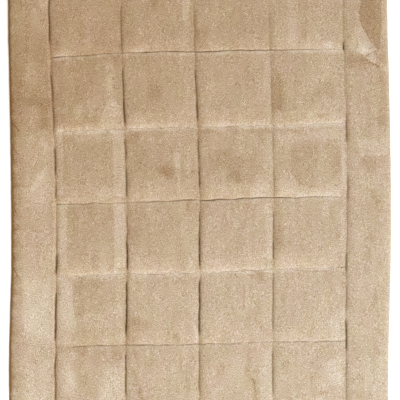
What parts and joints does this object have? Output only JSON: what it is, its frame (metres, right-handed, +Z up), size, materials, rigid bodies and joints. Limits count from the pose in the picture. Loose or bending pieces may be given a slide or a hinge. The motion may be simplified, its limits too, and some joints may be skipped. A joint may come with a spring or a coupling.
{
  "type": "quilted throw blanket",
  "caption": "Plush throw blanket lying flat, quilted in squares inside a plain border, with a soft turned edge.",
  "frame": {"origin": "on the surface that the throw lies on, under the middle of its outline", "axes": "+Z up, out of the quilted face; +Y along the throw's length; +X across its width"},
  "size_m": [1.3158, 1.808, 0.0137],
  "materials": {
    "plush": "short-pile plush, matt with a soft sheen"
  },
  "bodies": {
    "root": {"quilted_throw": "plush"}
  },
  "joints": []
}
